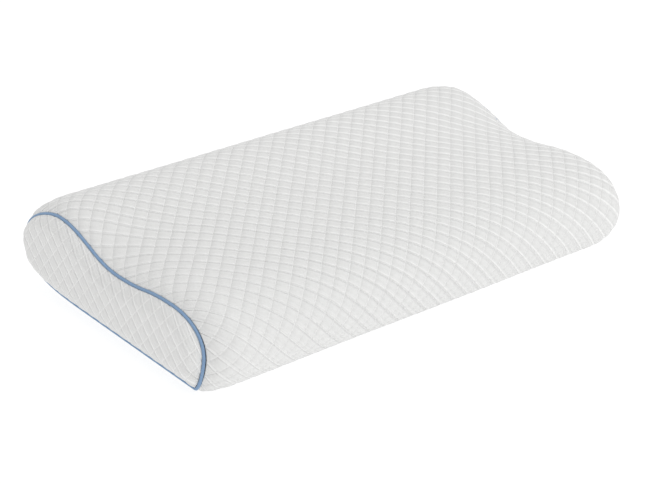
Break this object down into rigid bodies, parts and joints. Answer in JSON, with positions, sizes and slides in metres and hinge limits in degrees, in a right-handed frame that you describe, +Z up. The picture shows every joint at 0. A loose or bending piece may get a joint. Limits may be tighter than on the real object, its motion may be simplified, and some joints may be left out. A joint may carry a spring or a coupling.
{
  "type": "bed pillow",
  "caption": "Contour bed pillow with a low front roll, a dip and a high back roll, in a quilted knit cover with piped end seams and a zip along the back.",
  "frame": {"origin": "centre of the pillow's outer box, on the surface that its underside rests on", "axes": "+X along the length towards the closed end of the zip, +Y from the low front roll to the high back roll, +Z up"},
  "size_m": [0.6, 0.36, 0.115],
  "materials": {
    "quilted_knit": "white double-jersey knit with puffed diamonds",
    "piping_cloth": "mid-blue woven bias tape",
    "cotton_cord": "twisted cotton piping cord",
    "liner_knit": "thin plain knit",
    "memory_foam": "moulded viscoelastic polyurethane foam",
    "zip_tape": "white woven polyester tape",
    "zip_coil": "white nylon monofilament",
    "zip_metal": "nickel-plated zinc",
    "label_satin": "blank white satin"
  },
  "bodies": {
    "pillow": {"foam_core": "memory_foam", "liner_sleeve": "liner_knit", "liner_end_left": "liner_knit", "liner_end_right": "liner_knit", "cover_top_panel": "quilted_knit", "cover_base_panel": "quilted_knit", "end_panel_left": "quilted_knit", "end_panel_right": "quilted_knit", "piping_cord_left": "cotton_cord", "piping_cord_right": "cotton_cord", "piping_tape_left": "piping_cloth", "piping_tape_right": "piping_cloth", "zip_tape_upper": "zip_tape", "zip_tape_lower": "zip_tape", "zip_coil_upper": "zip_coil", "zip_coil_lower": "zip_coil", "zip_stop_closed_end": "zip_metal", "zip_stop_open_end": "zip_metal", "care_label": "label_satin"},
    "slider": {"zip_slider": "zip_metal"},
    "pull": {"zip_pull": "zip_metal"}
  },
  "joints": [
    {"name": "slider_travel", "type": "slide", "parent": "pillow", "child": "slider", "axis": [-1, 0, 0], "range_m": [0, 0.4445], "deforming": ["zip_coil_upper", "zip_coil_lower"]},
    {"name": "pull_swing", "type": "hinge", "parent": "slider", "child": "pull", "pos_m": [0.22225, 0.17495, 0.02549], "axis": [0, -0.4892, -0.8722], "range_deg": [0, 165]}
  ]
}
